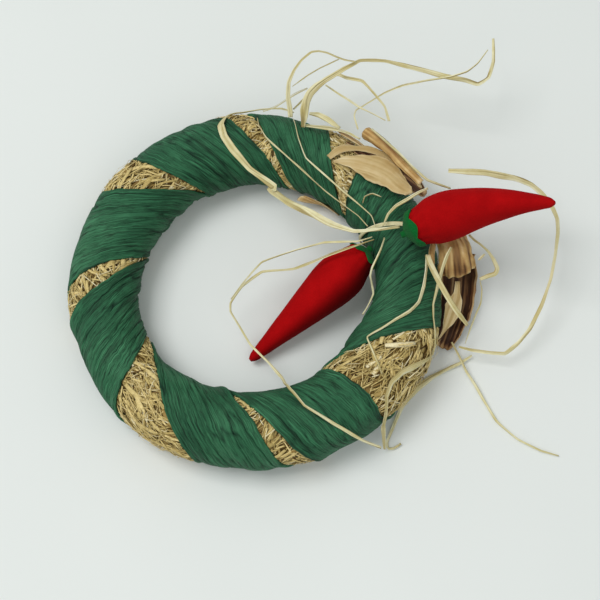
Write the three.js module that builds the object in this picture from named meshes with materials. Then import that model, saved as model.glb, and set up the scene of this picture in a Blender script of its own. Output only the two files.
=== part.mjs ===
// A wreath ornament that lies flat: a ring of bound straw wound with green paper
// ribbon, with two stuffed chillies, dried husk leaves and a spray of raffia tied
// on at one side. Millimetres, +Z up. Everything is laid out around the middle of
// the wreath, and the last lines move the whole ornament onto its own origin.
import * as THREE from 'three';

const { Vector3 } = THREE;
const radians = THREE.MathUtils.degToRad;
const { lerp, inverseLerp, clamp } = THREE.MathUtils;

// ---------------------------------------------------------------- dimensions

// The tube is measured over the ribbon. Its middle line is not quite a circle and
// its thickness changes on the way round: both are given every 30 degrees, from +X.
const ring = {
  middle: [82, 82, 82, 82.5, 83, 82.5, 84, 84.5, 83.5, 81.5, 81, 80.5],
  half: [17.8, 18, 18.7, 20, 20, 20.5, 19.5, 18.5, 20, 20.7, 20.8, 22],
  sides: 16,
  sink: 0.5,
};

// The ribbon goes round the tube eight times, and its two ends meet underneath.
const ribbon = { turns: 8, thickness: 1, clearance: 0.45, startTurn: 3.75, endGap: 0.06 };

// Where the straw shows between two turns of ribbon: the direction of the middle
// of the gap seen from the middle of the wreath, at the tube's outer side, crest
// and inner side, and half the gap's width at the same three places. Degrees.
const gaps = [
  { outer: 143, crest: 138, inner: 118, half: [7, 6, 0.6] },
  { outer: 102, crest: 91, inner: 75, half: [5.5, 3.5, 2] },
  { outer: 62, crest: 55, inner: 42, half: [7, 6, 1] },
  { outer: 16, crest: 9, inner: -5, half: [0.4, 0.4, 0.5] },
  { outer: -30, crest: -38, inner: -56, half: [17, 12, 1.5] },
  { outer: -77, crest: -89, inner: -110, half: [4.5, 2.5, 0.6] },
  { outer: -122, crest: -134, inner: -153, half: [13, 8, 2] },
  { outer: -171, crest: -180, inner: -195, half: [5, 4, 0.7] },
];

// Straw in a gap swells out again, most of all underneath, where it carries the
// wreath: `under` is how far down the tube's side that starts and is full, as a
// share of its radius. A gap narrower than fullGap (degrees from its middle to its
// edge) swells less.
const straw = { dip: 0.6, swell: 0.3, fullGap: 3, under: [0.7, 0.95] };

// The underside is pressed flat. Each layer keeps this height above the table.
const pressed = { straw: 0, tieOut: 0.2, tieIn: 0.7, ribbonOut: 1, ribbonIn: 2, strawUnderRibbon: 2.45 };

// The raffia tie goes once around the tube, a little askew.
const tie = { direction: 21.5, askew: 6, width: 2.6, lift: 0.9, thickness: 0.6 };

// A chilli's half thickness along its length, as shares of its length and of its
// greatest half thickness. The first stretch is under the green cap.
const podProfile = [
  [0, 0.38], [0.02, 0.58], [0.06, 0.7], [0.11, 0.8], [0.17, 0.94], [0.25, 1], [0.34, 0.97], [0.45, 0.86],
  [0.58, 0.71], [0.71, 0.55], [0.83, 0.39], [0.93, 0.26], [0.98, 0.17], [1, 0.08],
];
const podSides = 12;

// The felt cap: its shoulder is a share of the chilli's length.
const cap = { shoulder: 0.02, cloth: 1.1, gap: 0.7, crown: 0.6, nub: 2.4, nubRadius: 1.8 };

// Raffia strands are flat strips, and a strand with one width tapers to its ends.
const raffia = { thickness: 0.5, step: 9, fewest: 5, most: 28, lift: 1, taper: [0.6, 1, 1, 1, 0.5] };

const husk = { thickness: 0.8, rows: 8, columns: 6, lift: 1.6, ribHeight: 0.5 };

// A strand or leaf turns its flat side to the tube as it comes near its skin.
const turning = { far: 6.5, near: 1.5 };

// ------------------------------------------------------------------- looks

const looks = {
  straw: { color: 0xc6a86c, roughness: 0.85 },
  paper: { color: 0x2f6e4d, roughness: 0.75 },
  velour: { color: 0x970d12, roughness: 0.9 },
  felt: { color: 0x0d6a30, roughness: 0.95 },
  raffia: { color: 0xe0d5a4, roughness: 0.6 },
  paleLeaf: { color: 0xc9b07c, roughness: 0.7 },
  brownLeaf: { color: 0xa27c50, roughness: 0.75 },
};

// ---------------------------------------------------------------- solids

const ornament = new THREE.Group();

/** Six times the volume that a closed set of triangles encloses. */
function enclosed(points, triangles) {
  let sum = 0;
  for (const [a, b, c] of triangles) {
    sum += points[a].dot(points[b].clone().cross(points[c]));
  }
  return sum;
}

/** Adds a closed mesh, turned so that its faces look outwards. */
function addSolid(name, look, { points, triangles }) {
  const inward = enclosed(points, triangles) < 0;
  const outward = triangles.map(([a, b, c]) => (inward ? [a, c, b] : [a, b, c]));
  const geometry = new THREE.BufferGeometry().setFromPoints(points);
  geometry.setIndex(outward.flat());
  geometry.computeVertexNormals();
  const material = new THREE.MeshStandardMaterial({ ...looks[look], metalness: 0 });
  const mesh = new THREE.Mesh(geometry, material);
  mesh.name = name;
  ornament.add(mesh);
}

/** The two triangles of a four-sided patch. */
const patch = (a, b, c, d) => [[a, b, c], [a, c, d]];

/** Skins a row of sections that all have the same number of points. */
function loft(sections, endless = false) {
  const count = sections[0].length;
  const points = sections.flat();
  const triangles = [];
  const spans = endless ? sections.length : sections.length - 1;
  const at = (section, point) => (section % sections.length) * count + (point % count);
  for (let i = 0; i < spans; i += 1) {
    for (let j = 0; j < count; j += 1) {
      triangles.push(...patch(at(i, j), at(i, j + 1), at(i + 1, j + 1), at(i + 1, j)));
    }
  }
  if (!endless) {
    triangles.push(...endCap(count, 0, true), ...endCap(count, (sections.length - 1) * count, false));
  }
  return { points, triangles };
}

/** Closes the end of a loft with a ladder of triangles across the section. */
function endCap(count, first, reversed) {
  const triangles = [];
  for (let j = 0; j < count / 2 - 1; j += 1) {
    const [a, b, c, d] = [j, j + 1, count - 2 - j, count - 1 - j].map((k) => first + k);
    triangles.push([a, b, d], [b, c, d]);
  }
  const solid = triangles.filter(([a, b, c]) => new Set([a, b, c]).size === 3);
  return reversed ? solid.map(([a, b, c]) => [a, c, b]) : solid;
}

/** A value of an even, smooth row of numbers between its entries. */
function between(entry, place) {
  const i = Math.floor(place);
  const f = place - i;
  const [a, b, c, d] = [entry(i - 1), entry(i), entry(i + 1), entry(i + 2)];
  const bend = (2 * a - 5 * b + 4 * c - d) * f + (3 * b - a - 3 * c + d) * f * f;
  return b + 0.5 * f * (c - a + bend);
}

/** A value of a short list of numbers, at a share of the way along it. */
function along(list, share) {
  const place = share * (list.length - 1);
  const i = Math.floor(place);
  return lerp(list[i], list[Math.min(i + 1, list.length - 1)], place - i);
}

// ------------------------------------------------------- straw ring, ribbon

/** A size of the tube in a direction, from its values every 30 degrees. */
const around = (sizes, phi) => between((i) => sizes[((i % 12) + 12) % 12], (phi * 6) / Math.PI);
const middleRadius = (phi) => around(ring.middle, phi);
const tubeRadius = (phi) => around(ring.half, phi);

// The height of the tube's middle line, with its lowest flat side pressed flat.
const flatShare = Math.cos(Math.PI / ring.sides);
const tubeHeight = (phi) => flatShare * (tubeRadius(phi) + straw.swell) - ring.sink;

/** A point on the tube: direction, angle around the tube, distance off its skin. */
function onTube(direction, angle, off, floor) {
  const phi = radians(direction);
  const theta = radians(angle);
  const radius = tubeRadius(phi) + off;
  const out = middleRadius(phi) + radius * Math.cos(theta);
  const height = tubeHeight(phi) + radius * Math.sin(theta);
  return new Vector3(out * Math.cos(phi), out * Math.sin(phi), Math.max(height, floor));
}

/** The gap beside the ribbon after a number of turns: its middle and half width. */
function gapAt(turns) {
  const gap = (k) => gaps[((k % gaps.length) + gaps.length) % gaps.length];
  const wound = (k) => -360 * Math.floor(k / gaps.length);
  const middle = (k, quarter) => {
    const outerNext = gap(k + 1).outer + wound(k + 1);
    const places = [gap(k).outer, gap(k).crest, gap(k).inner].map((value) => value + wound(k));
    return quarter < 3 ? places[quarter] : (places[2] + outerNext) / 2;
  };
  const half = (k, quarter) => {
    return quarter < 3 ? gap(k).half[quarter] : (gap(k).half[2] + gap(k + 1).half[0]) / 2;
  };
  const entry = (value) => (i) => value(Math.floor(i / 4), ((i % 4) + 4) % 4);
  return {
    middle: between(entry(middle), turns * 4),
    half: Math.max(between(entry(half), turns * 4), 0.5),
  };
}

/** One row across a turn of ribbon: the gap's two inner lines, then the ribbon. */
function rowAt(index) {
  const turns = (index + 0.5) / ring.sides;
  const gap = gapAt(turns);
  const next = gapAt(turns + 1);
  const first = gap.middle - gap.half;
  const last = next.middle + next.half;
  return {
    angle: 360 * (turns - Math.floor(turns)),
    gap,
    gapLines: [gap.middle + gap.half / 2, gap.middle - gap.half / 2],
    ribbonLines: [0, 1 / 3, 2 / 3, 1].map((share) => lerp(first, last, share)),
  };
}

/** How far the straw in a gap stands off the ribbon's skin. */
function strawLevel(row) {
  const hidden = -ribbon.thickness - ribbon.clearance;
  const down = -Math.sin(radians(row.angle));
  const underneath = clamp(inverseLerp(...straw.under, down), 0, 1);
  const open = Math.min(1, row.gap.half / straw.fullGap);
  return lerp(hidden, lerp(-straw.dip, straw.swell, underneath), open);
}

function strawRing() {
  const rows = ring.sides * ribbon.turns;
  const columns = 6;
  const points = [];
  const triangles = [];
  const hidden = -ribbon.thickness - ribbon.clearance;
  for (let i = 0; i < rows; i += 1) {
    const row = rowAt(i);
    for (const line of row.gapLines) {
      points.push(onTube(line, row.angle, strawLevel(row), pressed.straw));
    }
    for (const line of row.ribbonLines) {
      points.push(onTube(line, row.angle, hidden, pressed.strawUnderRibbon));
    }
  }
  // The last column's neighbour is the next turn's first column.
  const at = (row, column) => {
    const wrapped = column === columns ? row + ring.sides : row;
    return (wrapped % rows) * columns + (column % columns);
  };
  // Each patch is split the same way as the back of the ribbon over it.
  for (let i = 0; i < rows; i += 1) {
    for (let j = 0; j < columns; j += 1) {
      triangles.push(...patch(at(i, j + 1), at(i, j), at(i + 1, j), at(i + 1, j + 1)));
    }
  }
  return { points, triangles };
}

/** The ribbon's four-sided section at a row, as its skin and then its back. */
function ribbonSection(index) {
  const row = rowAt(index);
  const skin = row.ribbonLines.map((line) => onTube(line, row.angle, 0, pressed.ribbonOut));
  const back = row.ribbonLines.map((line) => {
    return onTube(line, row.angle, -ribbon.thickness, pressed.ribbonIn);
  });
  return [...skin, ...back.reverse()];
}

function ribbonWrap() {
  const start = Math.round(ribbon.startTurn * ring.sides);
  const rows = ring.sides * ribbon.turns;
  const sections = [];
  for (let i = start; i < start + rows; i += 1) {
    sections.push(ribbonSection(i));
  }
  const last = sections[rows - 1];
  const beyond = ribbonSection(start + rows);
  sections.push(last.map((point, k) => point.clone().lerp(beyond[k], 1 - ribbon.endGap)));
  return loft(sections);
}

function raffiaTie() {
  const sections = [];
  const wide = (90 * tie.width) / (Math.PI * ring.middle[1]);
  for (let i = 0; i < ring.sides; i += 1) {
    const angle = (360 * (i + 0.5)) / ring.sides;
    const middle = tie.direction - tie.askew * Math.cos(radians(angle));
    const corner = (side, off, floor) => onTube(middle + side * wide, angle, off, floor);
    sections.push([
      corner(-1, tie.lift, pressed.tieIn),
      corner(1, tie.lift, pressed.tieIn),
      corner(1, tie.lift + tie.thickness, pressed.tieOut),
      corner(-1, tie.lift + tie.thickness, pressed.tieOut),
    ]);
  }
  return loft(sections, true);
}

// --------------------------------------------------------------- chillies

/** The bent middle line of a chilli, and a round section at any share of it. */
function podShape({ base, tip, bow, half, rims }) {
  const start = new Vector3(...base);
  const end = new Vector3(...tip);
  const middle = start.clone().add(end).multiplyScalar(0.5).add(new Vector3(...bow));
  const line = new THREE.QuadraticBezierCurve3(start, middle, end);
  const length = line.getLength();
  const section = (share, radius, spread = () => 0) => {
    const inside = clamp(share, 0, 1);
    const ahead = line.getTangent(inside);
    const side = ahead.clone().cross(new Vector3(0, 0, 1)).normalize();
    const up = side.clone().cross(ahead);
    return Array.from({ length: podSides }, (_, k) => {
      const turn = (2 * Math.PI * k) / podSides;
      const beyond = (share - inside + spread(k)) * length;
      return line.getPoint(inside)
        .addScaledVector(ahead, beyond)
        .addScaledVector(side, radius * Math.cos(turn))
        .addScaledVector(up, radius * Math.sin(turn));
    });
  };
  return { length, half, rims, section };
}

/** A chilli's half thickness at a share of its length. */
function podRadius(half, share) {
  const after = podProfile.findIndex(([place]) => place >= share);
  const [a, b] = [podProfile[Math.max(after - 1, 0)], podProfile[Math.max(after, 1)]];
  return half * lerp(a[1], b[1], (share - a[0]) / (b[0] - a[0]));
}

function chilli(shape) {
  return loft(podProfile.map(([share, size]) => shape.section(share, shape.half * size)));
}

/** The felt cap: a shallow cup with a pointed rim and a nub of stem. */
function chilliCap(shape) {
  const [shortRim, longRim] = shape.rims;
  const rim = (shortRim + longRim) / 2;
  const points = (k) => ((k % 2) * 2 - 1) * (longRim - rim);
  const behind = (distance) => -distance / shape.length;
  const inside = (share) => podRadius(shape.half, share) + cap.gap;
  const top = cap.gap + cap.cloth;
  return loft([
    shape.section(behind(top + cap.crown + cap.nub), cap.nubRadius),
    shape.section(behind(top + cap.crown), cap.nubRadius),
    shape.section(behind(top), podRadius(shape.half, 0)),
    shape.section(cap.shoulder, inside(cap.shoulder) + cap.cloth),
    shape.section(rim, inside(longRim) + cap.cloth, points),
    shape.section(rim, inside(longRim), points),
    shape.section(cap.shoulder, inside(cap.shoulder)),
    shape.section(behind(cap.gap), podRadius(shape.half, 0)),
  ]);
}

// Each chilli's middle line, from the cap to the tip, how far its middle is bowed
// off the straight, its greatest half thickness, and where the points of its cap's
// rim begin and end, as shares of its length.
const chillies = {
  front: podShape({
    base: [80.5, 20.5, 47], tip: [152.5, 19.5, 87], bow: [0, 15.5, -10], half: 13.4, rims: [0.06, 0.1],
  }),
  inner: podShape({
    base: [58.5, 16.8, 26.5], tip: [-4.5, -38, 5.5], bow: [4, 2.5, 4], half: 13.2, rims: [0.03, 0.06],
  }),
};

// ------------------------------------------------------ leaves and raffia

/** The straight way from the tube's middle line to a point, and its length. */
function fromTube(point) {
  const phi = Math.atan2(point.y, point.x);
  const middle = new Vector3(Math.cos(phi), Math.sin(phi), 0).multiplyScalar(middleRadius(phi));
  middle.z = tubeHeight(phi);
  const way = point.clone().sub(middle);
  return { middle, away: way.clone().normalize(), distance: way.length(), skin: tubeRadius(phi) };
}

/** Lifts a point off the tube, if it is nearer to its skin than the clearance. */
function restOnTube(point, clearance) {
  const { middle, away, distance, skin } = fromTube(point);
  return distance >= skin + clearance ? point : middle.addScaledVector(away, skin + clearance);
}

/** Up for something that lies at a point: off the tube when near it, else plain up. */
function upAt(point) {
  const { away, distance, skin } = fromTube(point);
  const nearness = clamp(inverseLerp(turning.far, turning.near, distance - skin), 0, 1);
  return new Vector3(0, 0, 1).lerp(away, nearness).normalize();
}

/** A smooth line through points. */
function routeOf(points) {
  const places = points.map((point) => new Vector3(...point));
  return new THREE.CatmullRomCurve3(places, false, 'centripetal');
}

/** The frame of a line at a share of its length: its point, and three directions. */
function frameAt(line, share, clearance) {
  const middle = restOnTube(line.getPointAt(share), clearance);
  const ahead = line.getTangentAt(share);
  const side = ahead.clone().cross(upAt(middle)).normalize();
  return { middle, ahead, side, up: side.clone().cross(ahead).normalize() };
}

/** A flat strand of raffia along a route. */
function strand({ route, width, lift = raffia.lift }) {
  const line = routeOf(route);
  const steps = clamp(Math.round(line.getLength() / raffia.step), raffia.fewest, raffia.most);
  const widths = Array.isArray(width) ? width : raffia.taper.map((share) => share * width);
  const sections = [];
  for (let i = 0; i <= steps; i += 1) {
    const { middle, side, up } = frameAt(line, i / steps, lift);
    side.multiplyScalar(along(widths, i / steps) / 2);
    up.multiplyScalar(raffia.thickness / 2);
    const corner = (s, u) => middle.clone().addScaledVector(side, s).addScaledVector(up, u);
    sections.push([corner(-1, -1), corner(1, -1), corner(1, 1), corner(-1, 1)]);
  }
  return loft(sections);
}

/**
 * A husk leaf: a thin sheet along a spine. `halves` are its half widths from end
 * to end, `curls` the half angles of its rolled section, `turn` the sheet's turn
 * about its spine, and `ribs` the number of ridges on each half.
 */
function leaf({ spine, halves, curls, turn = 0, ribs = 0, ...rest }) {
  const { rows, columns, lift, thickness, ribHeight } = { ...husk, ...rest };
  const line = routeOf(spine);
  const sections = [];
  for (let i = 0; i <= rows; i += 1) {
    const share = i / rows;
    const { middle, ahead, up } = frameAt(line, share, 0);
    up.applyAxisAngle(ahead, radians(turn));
    const curl = along(curls, share);
    const bend = along(halves, share) / curl;
    const skin = [];
    const back = [];
    for (let j = 0; j <= columns; j += 1) {
      const across = (2 * j) / columns - 1;
      const out = up.clone().applyAxisAngle(ahead, -curl * across);
      const ridge = ribs ? ribHeight * share * Math.cos(ribs * Math.PI * across) : 0;
      const sheet = middle.clone().addScaledVector(up, -bend).addScaledVector(out, bend + ridge);
      const point = restOnTube(sheet, lift);
      skin.push(point.clone().addScaledVector(out, thickness / 2));
      back.push(point.clone().addScaledVector(out, -thickness / 2));
    }
    sections.push([...skin, ...back.reverse()]);
  }
  return loft(sections);
}

// Every leaf: its looks, its widths and curls, and its spine, chosen by hand.
const leaves = {
  husk_leaf_broad: {
    look: 'paleLeaf', halves: [0.8, 3.4, 5.8, 8.2, 7.6, 5.6, 3], curls: [0.35], lift: 2.4,
    spine: [[41, 66, 39], [47, 66, 40], [53, 65, 40.5], [64, 61, 41], [71, 57, 41], [77, 51, 41],
      [82, 47, 41]],
  },
  husk_leaf_folded: {
    look: 'paleLeaf', halves: [1.6, 2.6, 2.2, 1.7, 1.3, 1.2, 1], curls: [0.6], lift: 1.9, columns: 3,
    spine: [[38.5, 68.5, 39], [45.5, 74, 38.5], [53.5, 75.5, 37], [62, 74, 37], [71, 69, 38],
      [79, 62, 39.5], [85, 54.5, 41], [88, 50, 41.5]],
  },
  husk_leaf_rolled: {
    look: 'brownLeaf', halves: [8.2, 7.2, 6.2, 5, 3.6], curls: [2.4, 2.4, 2.4, 2.3, 2],
    turn: 10, lift: 2.2, columns: 8, rows: 6,
    spine: [[58.5, 85.5, 38.5], [64.5, 78.5, 42.5], [71, 71, 45], [79, 60, 46.8], [87, 50.5, 47.8]],
  },
  husk_leaf_under: {
    look: 'brownLeaf', halves: [2, 4.5, 6, 6, 5, 2.5], curls: [0.3], lift: 0.8, rows: 6, columns: 3,
    spine: [[48, 79, 33], [57, 74.5, 34.5], [66.5, 68, 36], [75.5, 60, 37.5], [84.5, 52, 39],
      [90, 46, 40]],
  },
  husk_leaf_small: {
    look: 'brownLeaf', halves: [1.5, 2.6, 3, 2], curls: [0.4], lift: 2.4, rows: 4, columns: 3,
    spine: [[42, 89, 28], [46, 85, 29], [51, 82, 29], [56, 78, 30]],
  },
  husk_leaf_inner: {
    look: 'brownLeaf', halves: [4, 6.5, 6.5, 4.5, 2], curls: [0.9], lift: 1.2, rows: 6, columns: 4,
    spine: [[45, 48, 6], [37, 53, 7], [29, 55, 8.5], [23, 56, 10]],
  },
  husk_cup: {
    look: 'brownLeaf', halves: [10, 12, 13.5, 14], curls: [1.1, 1.25, 1.3, 1.25],
    ribs: 5, columns: 15, rows: 6,
    spine: [[105, 23, 37], [107, 14, 38], [108, 7, 35], [109, 3, 30]],
  },
  husk_leaf_back: {
    look: 'brownLeaf', halves: [9, 11.5, 11.5, 9, 5.5], curls: [-0.9, -1.1, -1.1, -0.9, -0.6], lift: 1.4,
    spine: [[111, 21, 16], [110.5, 9, 10], [109, -5, 6], [106.5, -16, 4], [101.5, -29, 3]],
  },
  husk_leaf_torn: {
    look: 'paleLeaf', halves: [1.2, 1.4, 3.8, 5, 4, 2, 0.8], curls: [-0.4], lift: 2.2, columns: 3,
    spine: [[109, 3, 19], [108, -6, 17], [105, -14, 15], [102, -21, 12], [99, -26, 8.5]],
  },
  husk_leaf_side: {
    look: 'brownLeaf', halves: [1.6, 2.1, 1.8, 0.8], curls: [0.8], lift: 1.6, rows: 4, columns: 4,
    spine: [[95, 19, 34], [94, 13, 35], [94, 7, 35], [94, 3, 34.5]],
  },
};

// Every strand of raffia: its width, or widths along it, and its route, chosen by hand.
const strands = {
  raffia_wide_loop: {
    width: [1.6, 2, 2.6, 3.6, 5, 5.4, 4.4, 3.4, 5, 4.6, 3, 2.4, 2, 1.8],
    route: [[76.5, 26.5, 40], [63.5, 24.5, 40.5], [52, 23.5, 41], [41, 28, 40], [30.5, 34, 39],
      [17, 41, 38.5], [6.5, 49, 38.5], [9, 49.5, 40], [-5, 61, 40], [-14, 72, 41], [-19, 80, 41],
      [-21, 88, 38], [-17, 97, 33], [-9, 102, 27], [1, 105, 25], [12, 105, 26], [19, 102, 27]],
  },
  raffia_thin_long: {
    width: 0.9,
    route: [[19, 94, 34], [22, 79, 40], [26, 68, 39], [45.5, 49.5, 37], [54, 42, 36.5],
      [61.5, 34.5, 36.5], [63.5, 28, 37]],
  },
  raffia_thin_short: {
    width: 0.9,
    route: [[-1, 93, 37], [0, 87, 40], [4, 80, 40], [17, 68, 38], [36, 50, 36], [46.5, 41.5, 35],
      [54.5, 35, 35], [59.5, 28.5, 36]],
  },
  raffia_hair: {
    width: 0.7,
    route: [[2, 99.5, 33], [8.5, 102.5, 32], [15.5, 107, 33], [20.5, 109.5, 35], [27, 112.5, 36]],
  },
  raffia_hair_upper: {
    width: 0.8,
    route: [[18.5, 109.5, 44], [21.5, 112, 44], [27, 116, 45], [34, 120, 46], [40, 122.5, 47],
      [44.5, 124, 48.5]],
  },
  raffia_spray_tall: {
    width: [3.6, 3.4, 3, 2.4, 2, 1.8, 1.8, 1.6, 1.6, 1.4, 1],
    route: [[17.5, 94.5, 36], [17, 99, 38], [16, 104, 42], [16.5, 110.5, 47], [19.5, 116.5, 50],
      [23.5, 121.5, 52], [29, 126, 53], [33, 126, 54], [37.5, 125, 54], [42.5, 123, 53],
      [47.5, 121.5, 52], [54, 121, 51]],
  },
  raffia_spray_wide: {
    width: [3, 5.2, 5.2, 4.8, 3.4, 2.8, 2.4, 1.8, 2.2, 2.8, 3.2, 3.4, 3.2, 3, 3, 2.8, 2.6, 2.4, 2, 1.6],
    route: [[24, 87, 38.5], [24.5, 91, 40.5], [25, 96, 42], [26.5, 101.5, 43], [28.5, 105.5, 44],
      [32.5, 109.5, 45], [37, 112.5, 46], [41.5, 115, 47], [47.5, 118.5, 48], [52, 121, 48],
      [56, 123.5, 48], [60, 124, 47.5], [70, 124, 47], [81, 121, 47], [92, 119, 45], [103, 116, 44],
      [115, 114, 43], [122, 112, 42], [128, 116, 42], [131, 125, 44], [131, 138, 47]],
  },
  raffia_spray_low: {
    width: [1, 1.4, 1.6, 1.6, 1.6, 1.8, 1.8, 1.6, 1.6, 1.4, 1.2],
    route: [[19, 102, 31], [24.5, 106, 35], [31.5, 112, 38.5], [36, 116, 39.5], [40.5, 118.5, 40],
      [44.5, 119, 40], [48.5, 117, 40], [57.5, 114.5, 41], [61, 110, 42], [65.5, 103.5, 43],
      [69.5, 97, 44], [72, 88, 44]],
  },
  raffia_spray_fine: {
    width: 0.8,
    route: [[37, 114, 37], [44, 108, 38], [50, 103.5, 38.5], [55.5, 99, 39], [61.5, 95.5, 40],
      [70, 90.5, 40]],
  },
  raffia_spray_far: {
    width: 1.2,
    route: [[55, 89, 32], [54, 92.5, 32.5], [53, 96.5, 33.5], [54, 100, 34], [56.5, 101, 35],
      [62.5, 103.5, 38], [70, 106.5, 42], [80, 110, 44], [92, 112, 46], [106, 113, 49], [115, 115, 51],
      [121, 120, 51], [127, 128, 52]],
  },
  raffia_big_loop: {
    width: [2.4, 4.4, 4.4, 4, 3.2, 2.6, 2.4, 2.4, 2.4, 2.2, 2, 2, 2.2, 2.4, 2.4, 2.2, 2, 1.6],
    route: [[102, 51, 58], [111, 50.5, 58], [121, 50.5, 57], [129, 49.5, 56], [138, 49.5, 53],
      [147, 47.5, 49], [153, 44, 45], [159.5, 37.5, 40], [162.5, 33, 36], [163, 26, 32.5],
      [161.5, 14, 28], [159, 2, 25], [154, -11, 20.5], [147.5, -23.5, 16.5], [141, -31, 14],
      [134, -36.5, 12.5], [126, -35.5, 11], [116, -34, 11], [109, -32.5, 12]],
  },
  raffia_bent_frame: {
    width: [1.4, 1.5, 1.6, 1.6, 1.8, 2.2, 2.6, 2.8, 2.8, 2.4],
    route: [[114, 22.5, 38], [117, 19.5, 37.5], [120, 17.5, 37], [124.5, 14.5, 34], [127.5, 10.5, 32],
      [129.5, 6, 30.5], [128.5, 3.5, 29.5], [124.5, 2.5, 28.5], [120, 1, 27.5]],
  },
  raffia_bent_strut: {
    width: 1.2,
    route: [[119, 10, 33], [121, 12, 33], [122.5, 13.5, 33]],
  },
  raffia_hanging: {
    width: 0.9,
    route: [[120.5, 1, 24.5], [121.5, -3, 23], [121, -10, 19.5], [118.5, -15.5, 15.5],
      [115.5, -22.5, 11], [113, -29, 7]],
  },
  raffia_pale_front: {
    width: [3.2, 3.8, 3.8, 3.8, 3.8, 3.6, 2.8],
    route: [[91, 9.5, 41.5], [92, 5.5, 41.5], [94, 0.5, 41], [97, -6, 40], [101.5, -13.5, 37.5],
      [106.5, -20.5, 34], [112, -26.5, 30]],
  },
  raffia_long_fold: {
    width: [1.6, 2.4, 2.4, 2.2, 2, 2, 2.4, 3, 3.6, 4, 3.4, 2.6, 2, 3, 3.4, 2.4, 1.6],
    route: [[103.5, 12.5, 45], [101, 8, 43], [99, 3, 39], [96.5, -6, 35.5], [94, -15, 33],
      [92.5, -23, 32], [92, -31.5, 29], [92, -37, 27], [91, -41, 27], [84, -45, 29.5], [78, -49, 32],
      [73, -53, 34], [68, -60, 36], [66, -67, 35], [65.5, -76, 26], [67, -83.5, 13], [68, -87.5, 4]],
  },
  raffia_over_ribbon: {
    width: [1.4, 2, 2.2, 2, 1.8, 1.6, 1.4, 1, 0.8, 0.8],
    route: [[91, 12, 35], [90.5, 3, 36.5], [89, -7, 38], [86, -16, 38], [80.5, -22, 38],
      [73.5, -27.5, 38], [67, -33.5, 37], [60.5, -38.5, 36], [61, -43, 37], [62, -49, 38],
      [64, -57, 38]],
  },
  raffia_floor_hook: {
    width: [1.2, 1.8, 2.4, 3, 3.6, 4, 3.2, 2.4, 2, 1.8, 1.6, 1.4],
    route: [[117, -34.5, 3], [110.5, -38.5, 2], [103, -42, 1.5], [94.5, -46.5, 1], [85.5, -53.5, 1.5],
      [79, -61.5, 2], [75.5, -69, 2.5], [72, -77, 2], [69.5, -83, 1.5], [70, -86.5, 1],
      [73, -86.5, 1.5], [77, -84, 2]],
  },
  raffia_floor_tail: {
    width: [1.2, 1.6, 1.8, 1.6, 1.2, 0.8, 0.8],
    route: [[105.5, -28.5, 8.5], [109, -34.5, 6], [113.5, -44.5, 4.5], [118, -51.5, 3.5],
      [122, -59, 2.5], [129, -71.5, 2], [140, -81.5, 1.5], [152, -88, 1.5], [161.5, -90.5, 1]],
  },
  raffia_inner_loop: {
    width: 1,
    route: [[61.5, 20, 41], [54, 17.5, 41], [44, 17.5, 40], [35.5, 18, 38], [20.5, 15, 35],
      [2, 9.5, 31], [-8.5, -2, 28], [-14.5, -10, 26]],
  },
  raffia_inner_long: {
    width: [1, 1.2, 1.4, 1.6, 1.2, 1.4, 1.8, 2, 1.8, 1.4], lift: 1.4,
    route: [[62.5, 19, 40], [56, 16.5, 40.5], [49.5, 14, 40.5], [39, 10.5, 39], [30, 7.5, 36],
      [19.5, 5, 32], [2, 5, 28], [-9, -2.5, 25], [-15, -10.5, 21], [-15, -15, 20], [-10, -23, 18],
      [-4, -33, 17], [6, -44, 19], [13, -54, 25], [18, -66, 34], [25, -75, 39], [36, -81, 39],
      [46, -86, 36], [56, -90, 29], [65, -92, 23]],
  },
  raffia_drop: {
    width: 1.3, lift: 1.4,
    route: [[68.3, 20.7, 38], [66.1, 13.7, 39], [63.9, 9, 38], [61.4, 4.2, 36],
      [60.5, 0.9, 32.5], [61.7, -2.3, 27], [62.8, -6.1, 24], [61.5, -11.9, 23], [57, -18, 23]],
  },
  raffia_curl: { width: 0.9, route: [[57, 43, 34], [58, 46, 36], [62, 47, 38], [67, 45, 38]] },
  raffia_knot_loop: {
    width: [1, 1.6, 2, 2, 1.8, 1.4],
    route: [[67.5, 27.5, 38], [70.5, 34, 40], [74.5, 38, 41], [81, 41.5, 42], [87, 45, 43.5],
      [92, 47, 45]],
  },
  raffia_edge: {
    width: [3.6, 4.2, 4.2, 3, 2, 1.8, 1.6],
    route: [[25.5, 89, 36.5], [31, 88.5, 36], [36, 88, 36], [42, 87.5, 35], [49, 85.5, 34.5],
      [56, 82, 34]],
  },
  raffia_edge_low: {
    width: [2.4, 4, 4.2, 3.6, 2.2],
    route: [[28, 99, 31.5], [33, 98, 32], [38, 95, 32.5], [42, 91.5, 33], [45, 89.5, 32.5]],
  },
  raffia_edge_far: {
    width: [1.4, 1.8, 1.8, 1.8, 1.6, 1.4],
    route: [[62, 82.5, 45.5], [69, 74, 48.5], [76, 66, 50], [83.5, 57, 50.5], [91.5, 49.5, 50],
      [97.5, 47.5, 49], [104, 46.5, 46]],
  },
};

// --------------------------------------------------------------- assembly

addSolid('straw_ring', 'straw', strawRing());
addSolid('ribbon_wrap', 'paper', ribbonWrap());
addSolid('raffia_tie', 'raffia', raffiaTie());
for (const [place, shape] of Object.entries(chillies)) {
  addSolid(`chilli_${place}`, 'velour', chilli(shape));
  addSolid(`chilli_${place}_cap`, 'felt', chilliCap(shape));
}
for (const [name, shape] of Object.entries(leaves)) {
  addSolid(name, shape.look, leaf(shape));
}
for (const [name, shape] of Object.entries(strands)) {
  addSolid(name, 'raffia', strand(shape));
}

// The origin is under the middle of everything, on the table.
const box = new THREE.Box3().setFromObject(ornament, true);
const middle = box.getCenter(new Vector3());
ornament.position.set(-middle.x, -middle.y, -box.min.z);

export default ornament;
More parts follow.
